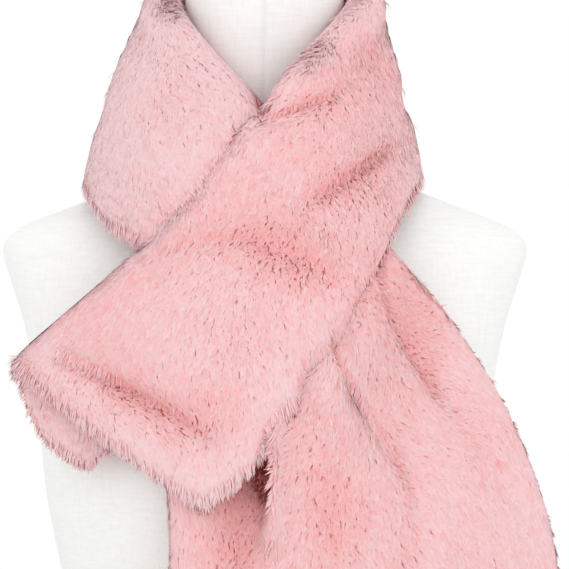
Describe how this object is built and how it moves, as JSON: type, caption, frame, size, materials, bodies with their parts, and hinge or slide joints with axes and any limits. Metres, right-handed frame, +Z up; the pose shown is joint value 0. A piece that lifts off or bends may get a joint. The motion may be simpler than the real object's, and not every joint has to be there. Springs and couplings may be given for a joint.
{
  "type": "faux fur stole on a limbless dress form",
  "caption": "Plush faux fur stole wound once round the neck of a limbless dress form, its two ends crossed on the chest, one short and folded under, one hanging wide.",
  "frame": {"origin": "centre of the dress form's flat base, on the surface that it stands on", "axes": "+Z up along the torso and neck, -Y out of the chest, +X to the viewer's right when facing the chest"},
  "size_m": [0.375, 0.2985, 0.674],
  "materials": {
    "fur": "soft pink plush pile, double-faced",
    "linen": "plain-weave cream linen over a smooth torso"
  },
  "bodies": {
    "root": {"dress_form": "linen", "collar_left": "fur", "collar_back": "fur", "collar_right": "fur", "front_end": "fur", "tail": "fur"}
  },
  "joints": []
}
